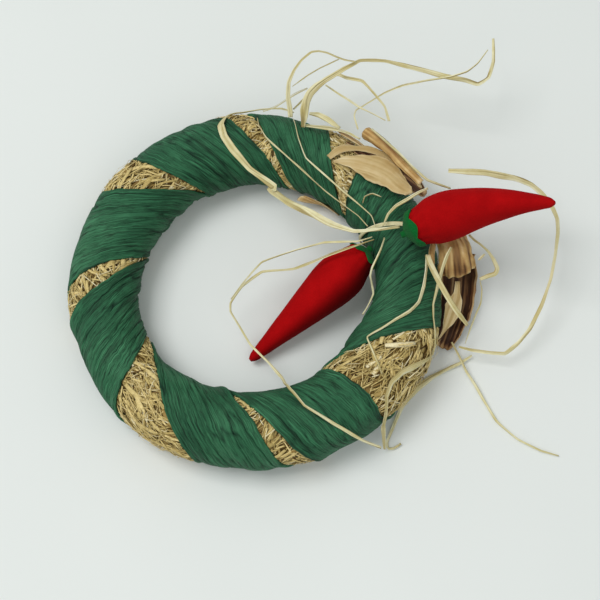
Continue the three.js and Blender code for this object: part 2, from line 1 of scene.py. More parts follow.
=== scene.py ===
"""A wreath ornament on a plain pale floor: a ring of bound straw wound with green
paper ribbon, two stuffed velour chillies, dried husk leaves and raffia. Metres, except
where millimetres are named."""
import math

import bpy
import numpy as np
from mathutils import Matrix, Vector


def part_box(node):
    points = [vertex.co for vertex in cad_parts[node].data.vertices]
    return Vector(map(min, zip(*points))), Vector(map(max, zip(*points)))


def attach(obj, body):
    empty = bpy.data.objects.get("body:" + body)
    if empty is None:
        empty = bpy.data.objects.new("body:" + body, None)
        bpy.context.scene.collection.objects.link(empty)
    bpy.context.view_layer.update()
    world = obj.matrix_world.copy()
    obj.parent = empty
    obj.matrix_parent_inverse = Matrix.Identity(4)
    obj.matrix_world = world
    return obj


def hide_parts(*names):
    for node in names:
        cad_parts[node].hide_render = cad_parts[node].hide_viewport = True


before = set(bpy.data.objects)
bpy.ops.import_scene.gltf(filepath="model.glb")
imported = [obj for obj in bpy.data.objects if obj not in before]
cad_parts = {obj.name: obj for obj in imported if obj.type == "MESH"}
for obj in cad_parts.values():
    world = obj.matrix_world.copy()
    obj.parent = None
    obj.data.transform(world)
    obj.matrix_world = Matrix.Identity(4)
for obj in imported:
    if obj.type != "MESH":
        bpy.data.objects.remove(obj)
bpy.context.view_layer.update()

# ---------------------------------------------------------------- dimensions

# Everything is laid out around the middle of the wreath, as in the CAD source. The
# straw ring's lowest corner, seen from there, ties that middle to the frame.
RING_CORNER = np.array([-0.1020, -0.1004, 0.0])
MIDDLE = np.array(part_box("straw_ring")[0]) - RING_CORNER

# The tube's middle line and its half thickness, every 30 degrees from +X.
RING_MIDDLE = [0.082, 0.082, 0.082, 0.0825, 0.083, 0.0825,
               0.084, 0.0845, 0.0835, 0.0815, 0.081, 0.0805]
RING_HALF = [0.0178, 0.018, 0.0187, 0.02, 0.02, 0.0205,
             0.0195, 0.0185, 0.02, 0.0207, 0.0208, 0.022]
RING_SINK = 0.0008

# The gaps between the turns of ribbon: the direction of each gap's middle at the
# tube's outer side, crest and inner side, and half its width there, in degrees.
GAPS = [
    (143, 138, 118, 7, 6, 0.6),
    (102, 91, 75, 5.5, 3.5, 2),
    (62, 55, 42, 7, 6, 1),
    (16, 9, -5, 0.4, 0.4, 0.5),
    (-30, -38, -56, 17, 12, 1.5),
    (-77, -89, -110, 4.5, 2.5, 0.6),
    (-122, -134, -153, 13, 8, 2),
    (-171, -180, -195, 5, 4, 0.7),
]
TURNS = len(GAPS)
RIBBON_START = 3.75
RIBBON_LENGTH = 0.125
RIBBON_WIDTH = 0.06
RIM_WIDTH = 0.003
RIM_LIFT = 0.0012
CREASE_WIDTH = 0.0013
CREASE_LENGTH = 0.022

# A chilli's half thickness along its length, as shares of its length and of its
# greatest half thickness, and each chilli's middle line. Its painted shade darkens one side
# with a near-black tint, given by its strength, and by its sign the side of the chilli that it lies on.
POD_PROFILE = [
    (0, 0.38), (0.02, 0.58), (0.06, 0.7), (0.11, 0.8), (0.17, 0.94), (0.25, 1), (0.34, 0.97),
    (0.45, 0.86), (0.58, 0.71), (0.71, 0.55), (0.83, 0.39), (0.93, 0.26), (0.98, 0.17), (1, 0.08),
]
CHILLIES = {
    "front": {"base": (0.0805, 0.0205, 0.047), "tip": (0.1525, 0.0195, 0.087),
              "bow": (0, 0.0155, -0.01), "half": 0.0134, "cap_reach": (0.042, 0.078), "painted_shade_side": 0.3},
    "inner": {"base": (0.0585, 0.0168, 0.0265), "tip": (-0.0045, -0.038, 0.0055),
              "bow": (0.004, 0.0025, 0.004), "half": 0.0132, "cap_reach": (0.01, 0.04), "painted_shade_side": -1.0},
}
CAP_CLOTH = 0.0011
CAP_GAP = 0.0004
CAP_POINTS = 5
# Small rings that close a cap over the pod's end: how far behind it, and half thickness.
CAP_STEM = [(0.0028, 0.0012), (0.0026, 0.0018), (0.0006, 0.0019), (0, 0.004)]

STALK_THICKNESS = 0.0006
MOST_STALKS = 5200
BUNDLE_DEPTH = 0.0027
HUSK = 0.0005
RAFFIA = 0.0004
TIE_HALF = 0.0013
FIBRE_SHARE = 0.35
LINE_STEP = 0.0012
POD_ROWS = 90
POD_POINTS = 72
DEEPEST_CREASE = 0.0014

# The leaves and strands of the CAD source, in millimetres: each leaf's spine, half widths
# and the half angles of its rolled section, and each strand's route and widths along it.
# Their points were picked and placed in space through a camera fitted to the ring,
# and their heights are guesses.
LEAVES = {
    "husk_leaf_broad": {
        "spine": [(41, 66, 39), (47, 66, 40), (53, 65, 40.5), (64, 61, 41), (71, 57, 41), (77, 51, 41),
            (82, 47, 41)],
        "halves": [0.8, 3.4, 5.8, 8.2, 7.6, 5.6, 3],
        "curls": [0.35], "lift": 2.4,
    },
    "husk_leaf_folded": {
        "spine": [(38.5, 68.5, 39), (45.5, 74, 38.5), (53.5, 75.5, 37), (62, 74, 37), (71, 69, 38),
            (79, 62, 39.5), (85, 54.5, 41), (88, 50, 41.5)],
        "halves": [1.6, 2.6, 2.2, 1.7, 1.3, 1.2, 1],
        "curls": [0.6], "lift": 1.9,
    },
    "husk_leaf_rolled": {
        "spine": [(58.5, 85.5, 38.5), (64.5, 78.5, 42.5), (71, 71, 45), (79, 60, 46.8), (87, 50.5, 47.8)],
        "halves": [8.2, 7.2, 6.2, 5, 3.6],
        "curls": [2.4, 2.4, 2.4, 2.3, 2], "lift": 2.2, "turn": 10,
    },
    "husk_leaf_under": {
        "spine": [(48, 79, 33), (57, 74.5, 34.5), (66.5, 68, 36), (75.5, 60, 37.5), (84.5, 52, 39),
            (90, 46, 40)],
        "halves": [2, 4.5, 6, 6, 5, 2.5],
        "curls": [0.3], "lift": 0.8,
    },
    "husk_leaf_small": {
        "spine": [(42, 89, 28), (46, 85, 29), (51, 82, 29), (56, 78, 30)],
        "halves": [1.5, 2.6, 3, 2],
        "curls": [0.4], "lift": 2.4,
    },
    "husk_leaf_inner": {
        "spine": [(45, 48, 6), (37, 53, 7), (29, 55, 8.5), (23, 56, 10)],
        "halves": [4, 6.5, 6.5, 4.5, 2],
        "curls": [0.9], "lift": 1.2,
    },
    "husk_cup": {
        "spine": [(105, 23, 37), (107, 14, 38), (108, 7, 35), (109, 3, 30)],
        "halves": [10, 12, 13.5, 14],
        "curls": [1.1, 1.25, 1.3, 1.25], "ribs": 5,
    },
    "husk_leaf_back": {
        "spine": [(111, 21, 16), (110.5, 9, 10), (109, -5, 6), (106.5, -16, 4), (101.5, -29, 3)],
        "halves": [9, 11.5, 11.5, 9, 5.5],
        "curls": [-0.9, -1.1, -1.1, -0.9, -0.6], "lift": 1.4,
    },
    "husk_leaf_torn": {
        "spine": [(109, 3, 19), (108, -6, 17), (105, -14, 15), (102, -21, 12), (99, -26, 8.5)],
        "halves": [1.2, 1.4, 3.8, 5, 4, 2, 0.8],
        "curls": [-0.4], "lift": 2.2,
    },
    "husk_leaf_side": {
        "spine": [(95, 19, 34), (94, 13, 35), (94, 7, 35), (94, 3, 34.5)],
        "halves": [1.6, 2.1, 1.8, 0.8],
        "curls": [0.8], "lift": 1.6,
    },
}

STRANDS = {
    "raffia_wide_loop": {
        "widths": [1.6, 2, 2.6, 3.6, 5, 5.4, 4.4, 3.4, 5, 4.6, 3, 2.4, 2, 1.8],
        "route": [(76.5, 26.5, 40), (63.5, 24.5, 40.5), (52, 23.5, 41), (41, 28, 40), (30.5, 34, 39),
            (17, 41, 38.5), (6.5, 49, 38.5), (9, 49.5, 40), (-5, 61, 40), (-14, 72, 41), (-19, 80, 41),
            (-21, 88, 38), (-17, 97, 33), (-9, 102, 27), (1, 105, 25), (12, 105, 26), (19, 102, 27)],
    },
    "raffia_thin_long": {
        "widths": [0.5, 0.9, 0.9, 0.9, 0.5],
        "route": [(19, 94, 34), (22, 79, 40), (26, 68, 39), (45.5, 49.5, 37), (54, 42, 36.5),
            (61.5, 34.5, 36.5), (63.5, 28, 37)],
    },
    "raffia_thin_short": {
        "widths": [0.5, 0.9, 0.9, 0.9, 0.5],
        "route": [(-1, 93, 37), (0, 87, 40), (4, 80, 40), (17, 68, 38), (36, 50, 36), (46.5, 41.5, 35),
            (54.5, 35, 35), (59.5, 28.5, 36)],
    },
    "raffia_hair": {
        "widths": [0.4, 0.7, 0.7, 0.7, 0.4],
        "route": [(2, 99.5, 33), (8.5, 102.5, 32), (15.5, 107, 33), (20.5, 109.5, 35), (27, 112.5, 36)],
    },
    "raffia_hair_upper": {
        "widths": [0.5, 0.8, 0.8, 0.8, 0.4],
        "route": [(18.5, 109.5, 44), (21.5, 112, 44), (27, 116, 45), (34, 120, 46), (40, 122.5, 47),
            (44.5, 124, 48.5)],
    },
    "raffia_spray_tall": {
        "widths": [3.6, 3.4, 3, 2.4, 2, 1.8, 1.8, 1.6, 1.6, 1.4, 1],
        "route": [(17.5, 94.5, 36), (17, 99, 38), (16, 104, 42), (16.5, 110.5, 47), (19.5, 116.5, 50),
            (23.5, 121.5, 52), (29, 126, 53), (33, 126, 54), (37.5, 125, 54), (42.5, 123, 53),
            (47.5, 121.5, 52), (54, 121, 51)],
    },
    "raffia_spray_wide": {
        "widths": [3, 5.2, 5.2, 4.8, 3.4, 2.8, 2.4, 1.8, 2.2, 2.8, 3.2, 3.4, 3.2, 3, 3, 2.8, 2.6, 2.4, 2,
            1.6],
        "route": [(24, 87, 38.5), (24.5, 91, 40.5), (25, 96, 42), (26.5, 101.5, 43), (28.5, 105.5, 44),
            (32.5, 109.5, 45), (37, 112.5, 46), (41.5, 115, 47), (47.5, 118.5, 48), (52, 121, 48),
            (56, 123.5, 48), (60, 124, 47.5), (70, 124, 47), (81, 121, 47), (92, 119, 45), (103, 116, 44),
            (115, 114, 43), (122, 112, 42), (128, 116, 42), (131, 125, 44), (131, 138, 47)],
    },
    "raffia_spray_low": {
        "widths": [1, 1.4, 1.6, 1.6, 1.6, 1.8, 1.8, 1.6, 1.6, 1.4, 1.2],
        "route": [(19, 102, 31), (24.5, 106, 35), (31.5, 112, 38.5), (36, 116, 39.5), (40.5, 118.5, 40),
            (44.5, 119, 40), (48.5, 117, 40), (57.5, 114.5, 41), (61, 110, 42), (65.5, 103.5, 43),
            (69.5, 97, 44), (72, 88, 44)],
    },
    "raffia_spray_fine": {
        "widths": [0.5, 0.8, 0.8, 0.8, 0.4],
        "route": [(37, 114, 37), (44, 108, 38), (50, 103.5, 38.5), (55.5, 99, 39), (61.5, 95.5, 40),
            (70, 90.5, 40)],
    },
    "raffia_spray_far": {
        "widths": [0.7, 1.2, 1.2, 1.2, 0.6],
        "route": [(55, 89, 32), (54, 92.5, 32.5), (53, 96.5, 33.5), (54, 100, 34), (56.5, 101, 35),
            (62.5, 103.5, 38), (70, 106.5, 42), (80, 110, 44), (92, 112, 46), (106, 113, 49), (115, 115, 51),
            (121, 120, 51), (127, 128, 52)],
    },
    "raffia_big_loop": {
        "widths": [2.4, 4.4, 4.4, 4, 3.2, 2.6, 2.4, 2.4, 2.4, 2.2, 2, 2, 2.2, 2.4, 2.4, 2.2, 2, 1.6],
        "route": [(102, 51, 58), (111, 50.5, 58), (121, 50.5, 57), (129, 49.5, 56), (138, 49.5, 53),
            (147, 47.5, 49), (153, 44, 45), (159.5, 37.5, 40), (162.5, 33, 36), (163, 26, 32.5),
            (161.5, 14, 28), (159, 2, 25), (154, -11, 20.5), (147.5, -23.5, 16.5), (141, -31, 14),
            (134, -36.5, 12.5), (126, -35.5, 11), (116, -34, 11), (109, -32.5, 12)],
    },
    "raffia_bent_frame": {
        "widths": [1.4, 1.5, 1.6, 1.6, 1.8, 2.2, 2.6, 2.8, 2.8, 2.4],
        "route": [(114, 22.5, 38), (117, 19.5, 37.5), (120, 17.5, 37), (124.5, 14.5, 34), (127.5, 10.5, 32),
            (129.5, 6, 30.5), (128.5, 3.5, 29.5), (124.5, 2.5, 28.5), (120, 1, 27.5)],
    },
    "raffia_bent_strut": {
        "widths": [0.7, 1.2, 1.2, 1.2, 0.6],
        "route": [(119, 10, 33), (121, 12, 33), (122.5, 13.5, 33)],
    },
    "raffia_hanging": {
        "widths": [0.5, 0.9, 0.9, 0.9, 0.5],
        "route": [(120.5, 1, 24.5), (121.5, -3, 23), (121, -10, 19.5), (118.5, -15.5, 15.5),
            (115.5, -22.5, 11), (113, -29, 7)],
    },
    "raffia_pale_front": {
        "widths": [3.2, 3.8, 3.8, 3.8, 3.8, 3.6, 2.8],
        "route": [(91, 9.5, 41.5), (92, 5.5, 41.5), (94, 0.5, 41), (97, -6, 40), (101.5, -13.5, 37.5),
            (106.5, -20.5, 34), (112, -26.5, 30)],
    },
    "raffia_long_fold": {
        "widths": [1.6, 2.4, 2.4, 2.2, 2, 2, 2.4, 3, 3.6, 4, 3.4, 2.6, 2, 3, 3.4, 2.4, 1.6],
        "route": [(103.5, 12.5, 45), (101, 8, 43), (99, 3, 39), (96.5, -6, 35.5), (94, -15, 33),
            (92.5, -23, 32), (92, -31.5, 29), (92, -37, 27), (91, -41, 27), (84, -45, 29.5), (78, -49, 32),
            (73, -53, 34), (68, -60, 36), (66, -67, 35), (65.5, -76, 26), (67, -83.5, 13), (68, -87.5, 4)],
    },
    "raffia_over_ribbon": {
        "widths": [1.4, 2, 2.2, 2, 1.8, 1.6, 1.4, 1, 0.8, 0.8],
        "route": [(91, 12, 35), (90.5, 3, 36.5), (89, -7, 38), (86, -16, 38), (80.5, -22, 38),
            (73.5, -27.5, 38), (67, -33.5, 37), (60.5, -38.5, 36), (61, -43, 37), (62, -49, 38),
            (64, -57, 38)],
    },
    "raffia_floor_hook": {
        "widths": [1.2, 1.8, 2.4, 3, 3.6, 4, 3.2, 2.4, 2, 1.8, 1.6, 1.4],
        "route": [(117, -34.5, 3), (110.5, -38.5, 2), (103, -42, 1.5), (94.5, -46.5, 1), (85.5, -53.5, 1.5),
            (79, -61.5, 2), (75.5, -69, 2.5), (72, -77, 2), (69.5, -83, 1.5), (70, -86.5, 1),
            (73, -86.5, 1.5), (77, -84, 2)],
    },
    "raffia_floor_tail": {
        "widths": [1.2, 1.6, 1.8, 1.6, 1.2, 0.8, 0.8],
        "route": [(105.5, -28.5, 8.5), (109, -34.5, 6), (113.5, -44.5, 4.5), (118, -51.5, 3.5),
            (122, -59, 2.5), (129, -71.5, 2), (140, -81.5, 1.5), (152, -88, 1.5), (161.5, -90.5, 1)],
    },
    "raffia_inner_loop": {
        "widths": [0.6, 1, 1, 1, 0.5],
        "route": [(61.5, 20, 41), (54, 17.5, 41), (44, 17.5, 40), (35.5, 18, 38), (20.5, 15, 35),
            (2, 9.5, 31), (-8.5, -2, 28), (-14.5, -10, 26)],
    },
    "raffia_inner_long": {
        "widths": [1, 1.2, 1.4, 1.6, 1.2, 1.4, 1.8, 2, 1.8, 1.4], "lift": 1.4,
        "route": [(62.5, 19, 40), (56, 16.5, 40.5), (49.5, 14, 40.5), (39, 10.5, 39), (30, 7.5, 36),
            (19.5, 5, 32), (2, 5, 28), (-9, -2.5, 25), (-15, -10.5, 21), (-15, -15, 20), (-10, -23, 18),
            (-4, -33, 17), (6, -44, 19), (13, -54, 25), (18, -66, 34), (25, -75, 39), (36, -81, 39),
            (46, -86, 36), (56, -90, 29), (65, -92, 23)],
    },
    "raffia_drop": {
        "widths": [0.8, 1.3, 1.3, 1.3, 0.7], "lift": 1.4,
        "route": [(68.3, 20.7, 38), (66.1, 13.7, 39), (63.9, 9, 38), (61.4, 4.2, 36), (60.5, 0.9, 32.5),
            (61.7, -2.3, 27), (62.8, -6.1, 24), (61.5, -11.9, 23), (57, -18, 23)],
    },
    "raffia_curl": {
        "widths": [0.5, 0.9, 0.9, 0.9, 0.5],
        "route": [(57, 43, 34), (58, 46, 36), (62, 47, 38), (67, 45, 38)],
    },
    "raffia_knot_loop": {
        "widths": [1, 1.6, 2, 2, 1.8, 1.4],
        "route": [(67.5, 27.5, 38), (70.5, 34, 40), (74.5, 38, 41), (81, 41.5, 42), (87, 45, 43.5),
            (92, 47, 45)],
    },
    "raffia_edge": {
        "widths": [3.6, 4.2, 4.2, 3, 2, 1.8, 1.6],
        "route": [(25.5, 89, 36.5), (31, 88.5, 36), (36, 88, 36), (42, 87.5, 35), (49, 85.5, 34.5),
            (56, 82, 34)],
    },
    "raffia_edge_low": {
        "widths": [2.4, 4, 4.2, 3.6, 2.2],
        "route": [(28, 99, 31.5), (33, 98, 32), (38, 95, 32.5), (42, 91.5, 33), (45, 89.5, 32.5)],
    },
    "raffia_edge_far": {
        "widths": [1.4, 1.8, 1.8, 1.8, 1.6, 1.4],
        "route": [(62, 82.5, 45.5), (69, 74, 48.5), (76, 66, 50), (83.5, 57, 50.5), (91.5, 49.5, 50),
            (97.5, 47.5, 49), (104, 46.5, 46)],
    },
}

# The camera looks down on the wreath from the front.
CAMERA = {"aim": (0.0227, -0.0081, 0.0195), "distance": 0.85, "elevation": 69.5, "lens": 93.7}

# Each lamp's place, size and power.
LIGHTS = {"key": ((-0.95, 0.1, 2.2), 1.2, 29.0), "fill": ((0.3, -1.35, 1.9), 1.6, 9.0)}


# ------------------------------------------------------------------- helpers

def noise(u, v, seed):
    """Smooth noise from -1 to 1 over a plane. The same seed always gives the same noise."""
    lattice = np.random.default_rng(seed).uniform(-1, 1, (64, 64))
    u, v = np.broadcast_arrays(u, v)
    i, j = np.floor(u).astype(int), np.floor(v).astype(int)
    f, g = u - i, v - j
    f, g = f * f * (3 - 2 * f), g * g * (3 - 2 * g)

    def row(step):
        first = lattice[i % 64, (j + step) % 64]
        second = lattice[(i + 1) % 64, (j + step) % 64]
        return first * (1 - f) + second * f

    return row(0) * (1 - g) + row(1) * g


def closed_row(entries, place):
    """A smooth value of an even row of numbers that closes on itself."""
    entries = np.asarray(entries, float)
    i = np.floor(place).astype(int)
    f = place - i
    a, b, c, d = (entries[(i + k) % len(entries)] for k in (-1, 0, 1, 2))
    bend = (2 * a - 5 * b + 4 * c - d) * f + (3 * b - a - 3 * c + d) * f * f
    return b + 0.5 * f * (c - a + bend)


def along(values, share):
    """Values of a short list, at shares of the way along it, eased between them."""
    values = np.asarray(values, float)
    place = np.clip(share, 0, 1) * (len(values) - 1)
    i = np.minimum(place.astype(int), max(len(values) - 2, 0))
    f = place - i
    following = values[np.minimum(i + 1, len(values) - 1)]
    return values[i] + (following - values[i]) * f * f * (3 - 2 * f)


def metres(millimetres):
    return np.asarray(millimetres, float) / 1000


def unit(vectors):
    return vectors / np.maximum(np.linalg.norm(vectors, axis=-1, keepdims=True), 1e-12)


def step(value, low, high):
    """0 below low, 1 above high, and smooth between."""
    f = np.clip((value - low) / (high - low), 0, 1)
    return f * f * (3 - 2 * f)


def add_piece(name, points, faces, material, layers=None):
    """A mesh piece that rides on the frame. Points are seen from the wreath's middle."""
    mesh = bpy.data.meshes.new(name)
    placed = np.asarray(points).reshape(-1, 3) + MIDDLE
    mesh.from_pydata(placed.tolist(), [], faces)
    for layer, values in (layers or {}).items():
        spread = np.broadcast_to(values, np.shape(points)[:-1]).ravel()
        mesh.attributes.new(layer, "FLOAT", "POINT").data.foreach_set("value", spread)
    mesh.shade_smooth()
    mesh.materials.append(material)
    piece = bpy.data.objects.new(name, mesh)
    bpy.context.scene.collection.objects.link(piece)
    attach(piece, "root")
    return piece


def loft_faces(rows, count, endless=False):
    """Faces over rows of sections with `count` points each, closed around each section."""
    row, point = np.meshgrid(np.arange(rows if endless else rows - 1), np.arange(count), indexing="ij")
    ahead, beside = (row + 1) % rows, (point + 1) % count
    corners = [row * count + point, row * count + beside, ahead * count + beside, ahead * count + point]
    faces = np.stack(corners, -1).reshape(-1, 4).tolist()
    if not endless:
        faces.append(list(range(count))[::-1])
        faces.append(list(range((rows - 1) * count, rows * count)))
    return faces


# ------------------------------------------------------------------ the tube

def tube_radius(direction):
    return closed_row(RING_HALF, np.degrees(direction) / 30)


def middle_radius(direction):
    return closed_row(RING_MIDDLE, np.degrees(direction) / 30)


def tube_height(direction):
    return tube_radius(direction) - RING_SINK


def on_tube(direction, angle, off, floor=0.0):
    """Points at a direction from the middle and an angle around the tube, in degrees."""
    phi, theta = np.radians(direction), np.radians(angle)
    radius = tube_radius(phi) + off
    out = middle_radius(phi) + radius * np.cos(theta)
    height = tube_height(phi) + radius * np.sin(theta)
    return np.stack(np.broadcast_arrays(out * np.cos(phi), out * np.sin(phi), np.maximum(height, floor)), -1)


def gap_rows():
    """The gaps' middles and half widths at every quarter turn, less the steady winding."""
    middles, halves = [], []
    for k, (outer, crest, inner, *half) in enumerate(GAPS):
        following = GAPS[(k + 1) % TURNS]
        next_outer = following[0] - (360 if k == TURNS - 1 else 0)
        middles += [outer, crest, inner, (inner + next_outer) / 2]
        halves += [*half, (half[2] + following[3]) / 2]
    steady = 360 * np.arange(4 * TURNS) / (4 * TURNS)
    return np.array(middles) + steady, np.array(halves)


GAP_MIDDLES, GAP_HALVES = gap_rows()


def gap_at(turns):
    """The gap beside the ribbon after a number of turns: its middle and half width."""
    place = np.asarray(turns) * 4
    middle = closed_row(GAP_MIDDLES, place) - 360 * place / (4 * TURNS)
    return middle, np.maximum(closed_row(GAP_HALVES, place), 0.5)


def from_tube(points):
    """For each point: the tube's middle near it, the way off it, and the tube's radius."""
    phi = np.arctan2(points[..., 1], points[..., 0])
    out = middle_radius(phi)
    middle = np.stack([out * np.cos(phi), out * np.sin(phi), tube_height(phi)], -1)
    return middle, points - middle, tube_radius(phi)


def rest_on_tube(points, lift):
    """Moves points off the tube that are nearer to its skin than the lift."""
    middle, way, skin = from_tube(points)
    distance = np.linalg.norm(way, axis=-1)
    reach = np.maximum(distance, skin + lift)
    return middle + unit(way) * reach[..., None]


def up_at(points):
    """Off the tube for points near its skin, and plain up elsewhere."""
    _, way, skin = from_tube(points)
    nearness = 1 - np.clip((np.linalg.norm(way, axis=-1) - skin - 0.0015) / 0.005, 0, 1)
    plain = np.array([0.0, 0.0, 1.0])
    return unit(plain + (unit(way) - plain) * nearness[..., None])


def smooth_route(route, spacing, kink=0.0):
    """Evenly spaced points along a line through a route's points, bent smoothly or with kinks."""
    route = np.asarray(route, float)
    before, after = 2 * route[0] - route[1], 2 * route[-1] - route[-2]
    points = np.vstack([before, route, after])
    reach = np.sqrt(np.linalg.norm(np.diff(points, axis=0), axis=1))
    fine = []
    for i in range(1, len(points) - 2):
        p, q, r, s = points[i - 1:i + 3]
        g, h, k = reach[i - 1:i + 2]
        leave = ((q - p) / g - (r - p) / (g + h) + (r - q) / h) * h
        arrive = ((r - q) / h - (s - q) / (h + k) + (s - r) / k) * h
        leave = leave + kink * (r - q - leave)
        arrive = arrive + kink * (r - q - arrive)
        t = np.linspace(0, 1, 16, endpoint=False)[:, None]
        cubic = (2 * q - 2 * r + leave + arrive) * t + (3 * r - 3 * q - 2 * leave - arrive)
        fine.append(q + leave * t + cubic * t * t)
    fine = np.vstack([*fine, route[-1]])
    length = np.concatenate([[0], np.cumsum(np.linalg.norm(np.diff(fine, axis=0), axis=1))])
    even = np.linspace(0, length[-1], max(int(length[-1] / spacing), 8) + 1)
    return np.stack([np.interp(even, length, fine[:, k]) for k in range(3)], -1), even


def line_frame(points):
    """The directions ahead, beside and above at each point of a line."""
    ahead = unit(np.gradient(points, axis=0))
    side = unit(np.cross(ahead, up_at(points)))
    return ahead, side, np.cross(side, ahead)


# ----------------------------------------------------------------- materials

def new_material(name, roughness, sheen=0.0):
    """A principled material, with its nodes, links and shader to build on."""
    material = bpy.data.materials.new(name)
    material.use_nodes = True
    nodes, links = material.node_tree.nodes, material.node_tree.links
    shader = nodes["Principled BSDF"]
    shader.inputs["Roughness"].default_value = roughness
    shader.inputs["Specular IOR Level"].default_value = 0.25
    if sheen:
        shader.inputs["Sheen Weight"].default_value = sheen
        shader.inputs["Sheen Roughness"].default_value = 0.6
    return material, nodes, links, shader


def place_node(nodes, links, stretch=(1, 1, 1)):
    """Object coordinates, stretched."""
    place = nodes.new("ShaderNodeTexCoord")
    mapping = nodes.new("ShaderNodeMapping")
    mapping.inputs["Scale"].default_value = stretch
    links.new(place.outputs["Object"], mapping.inputs["Vector"])
    return mapping.outputs["Vector"]


def noise_node(nodes, links, vector, scale, detail=3.0, roughness=0.6):
    texture = nodes.new("ShaderNodeTexNoise")
    texture.inputs["Scale"].default_value = scale
    texture.inputs["Detail"].default_value = detail
    texture.inputs["Roughness"].default_value = roughness
    links.new(vector, texture.inputs["Vector"])
    return texture.outputs["Fac"]


def layer_node(nodes, layer):
    attribute = nodes.new("ShaderNodeAttribute")
    attribute.attribute_name = layer
    return attribute.outputs["Fac"]


def ramp_node(nodes, links, value, stops):
    """Colours for a value: stops are (value, colour)."""
    ramp = nodes.new("ShaderNodeValToRGB")
    elements = ramp.color_ramp.elements
    while len(elements) < len(stops):
        elements.new(0.5)
    for element, (position, color) in zip(elements, stops):
        element.position = position
        element.color = (*color, 1)
    links.new(value, ramp.inputs["Fac"])
    return ramp.outputs["Color"]


def greys(*stops):
    """Grey stops for a ramp, from pairs of position and brightness."""
    return [(position, (level, level, level)) for position, level in stops]


def mix_node(nodes, links, kind, share, first, second):
    """Mixes two colours. The share is a number or a socket, the second a colour or a socket."""
    mix = nodes.new("ShaderNodeMix")
    mix.data_type = "RGBA"
    mix.blend_type = kind
    links.new(first, mix.inputs["A"])
    for key, value in (("Factor", share), ("B", second)):
        socket = [s for s in mix.inputs if s.name == key and s.enabled][0]
        if isinstance(value, bpy.types.NodeSocket):
            links.new(value, socket)
        else:
            socket.default_value = value if key == "Factor" else (*value, 1)
    return [s for s in mix.outputs if s.enabled][0]


def bump_node(nodes, links, shader, height, strength, distance):
    bump = nodes.new("ShaderNodeBump")
    bump.inputs["Strength"].default_value = strength
    bump.inputs["Distance"].default_value = distance
    links.new(height, bump.inputs["Height"])
    links.new(bump.outputs["Normal"], shader.inputs["Normal"])


def straw_material():
    material, nodes, links, shader = new_material("straw", 0.6)
    place = place_node(nodes, links)
    stalk = ramp_node(nodes, links, layer_node(nodes, "shade"), [
        (0.0, (0.09, 0.045, 0.012)), (0.25, (0.34, 0.22, 0.06)), (0.5, (0.62, 0.48, 0.18)),
        (0.85, (0.86, 0.69, 0.32)), (1.0, (0.95, 0.88, 0.62))])
    blotch = noise_node(nodes, links, place, 900.0)
    color = mix_node(nodes, links, "MULTIPLY", 0.6, stalk, ramp_node(nodes, links, blotch, [
        (0.3, (0.55, 0.5, 0.42)), (0.65, (1.0, 1.0, 1.0))]))
    links.new(color, shader.inputs["Base Color"])
    bump_node(nodes, links, shader, blotch, 0.3, 0.0004)
    return material


def paper_material():
    """Green paper with fine creases along it, with painted shade in the deep ones, painted shade and
    highlights along fine ridges, and a dry surface.
    """
    material, nodes, links, shader = new_material("paper_ribbon", 0.65)
    place = place_node(nodes, links)
    patches = noise_node(nodes, links, place, 45.0, 4.0)
    base = ramp_node(nodes, links, patches, [
        (0.3, (0.020, 0.106, 0.048)), (0.5, (0.029, 0.142, 0.064)), (0.72, (0.048, 0.19, 0.09))])
    strip = nodes.new("ShaderNodeCombineXYZ")
    links.new(layer_node(nodes, "across"), strip.inputs["X"])
    links.new(layer_node(nodes, "lengthwise"), strip.inputs["Y"])
    fine = noise_node(nodes, links, strip.outputs["Vector"], 1.0, 2.5, 0.6)
    ridges = ramp_node(nodes, links, fine, greys((0.39, 1), (0.47, 0), (0.56, 0.8), (0.66, 0.3)))
    # Painted shade and highlight: the paper is darkened in the ridge pattern's valleys and brightened past
    # its own green on its crests.
    ridge_shade_and_highlight = ramp_node(nodes, links, ridges, [
        (0.0, (0.35, 0.33, 0.33)), *greys((0.3, 0.95), (0.8, 1.05)), (1.0, (1.3, 1.25, 1.25))])
    color = mix_node(nodes, links, "MULTIPLY", 0.9, base, ridge_shade_and_highlight)
    long = noise_node(nodes, links, strip.outputs["Vector"], 0.28, 2.0, 0.5)
    # Painted shade: thin dark lines along the paper stand for the shade in crease valleys.
    shaded_valley_stops = greys((0.455, 1), (0.472, 0.25), (0.48, 0.25), (0.51, 1))
    creases = ramp_node(nodes, links, long, shaded_valley_stops)
    color = mix_node(nodes, links, "MULTIPLY", 0.75, color, creases)
    # Painted shade: the deep creases of the mesh are mixed toward a near-black green.
    color = mix_node(nodes, links, "MIX", layer_node(nodes, "crease"), color, (0.002, 0.018, 0.010))
    links.new(color, shader.inputs["Base Color"])
    bump_node(nodes, links, shader, ridges, 0.7, 0.0005)
    return material


def velour_material():
    """Red velour with a short pile, with painted shade: a layer tints one side of it nearly black."""
    material, nodes, links, shader = new_material("red_velour", 0.85, sheen=0.06)
    shader.inputs["Sheen Tint"].default_value = (0.9, 0.08, 0.1, 1)
    shader.inputs["Specular IOR Level"].default_value = 0.04
    place = place_node(nodes, links)
    pile = noise_node(nodes, links, place, 1400.0, 2.0)
    base = ramp_node(nodes, links, noise_node(nodes, links, place, 60.0), [
        (0.35, (0.34, 0.002, 0.003)), (0.65, (0.42, 0.003, 0.004))])
    color = mix_node(nodes, links, "MULTIPLY", 0.35, base, ramp_node(nodes, links, pile, [
        (0.35, (0.7, 0.6, 0.6)), (0.6, (1.0, 1.0, 1.0))]))
    # Painted shade: a near-black red is mixed in over one side of each chilli.
    color = mix_node(nodes, links, "MIX", layer_node(nodes, "painted_shade_side"), color, (0.03, 0.0002, 0.0003))
    links.new(color, shader.inputs["Base Color"])
    bump_node(nodes, links, shader, pile, 0.25, 0.0003)
    return material


